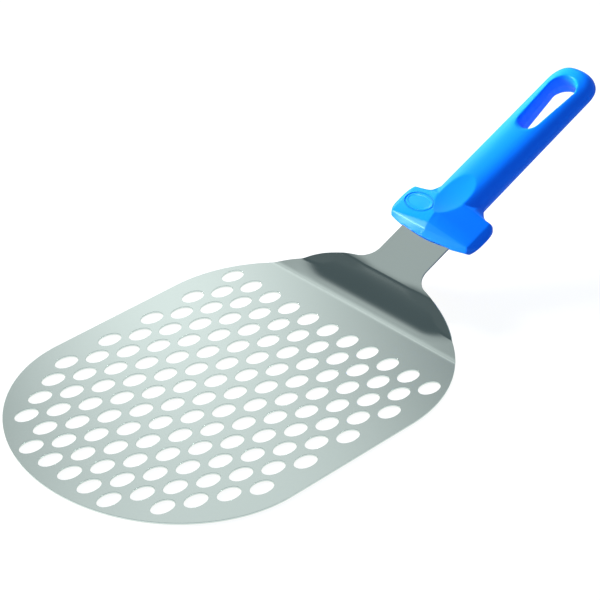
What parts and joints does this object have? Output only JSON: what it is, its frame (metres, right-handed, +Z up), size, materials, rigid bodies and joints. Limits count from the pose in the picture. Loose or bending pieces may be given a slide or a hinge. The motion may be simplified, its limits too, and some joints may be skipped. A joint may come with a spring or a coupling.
{
  "type": "perforated pizza peel",
  "caption": "Short-handled pizza peel: rounded perforated stainless blade, bent up into a neck, with a moulded plastic handle that has a cross guard and a hanging slot.",
  "frame": {"origin": "middle of the bounding box in X and Y, at the flat underside of the head in Z", "axes": "+X from the blade's nose to the handle's end, +Y to the left seen from the handle, across the blade, +Z up from the surface the head lies on"},
  "size_m": [0.4016, 0.1802, 0.0848],
  "materials": {
    "stainless": "satin stainless sheet",
    "handle_plastic": "satin moulded polypropylene, saturated blue"
  },
  "bodies": {
    "root": {"blade": "stainless", "handle": "handle_plastic"}
  },
  "joints": []
}
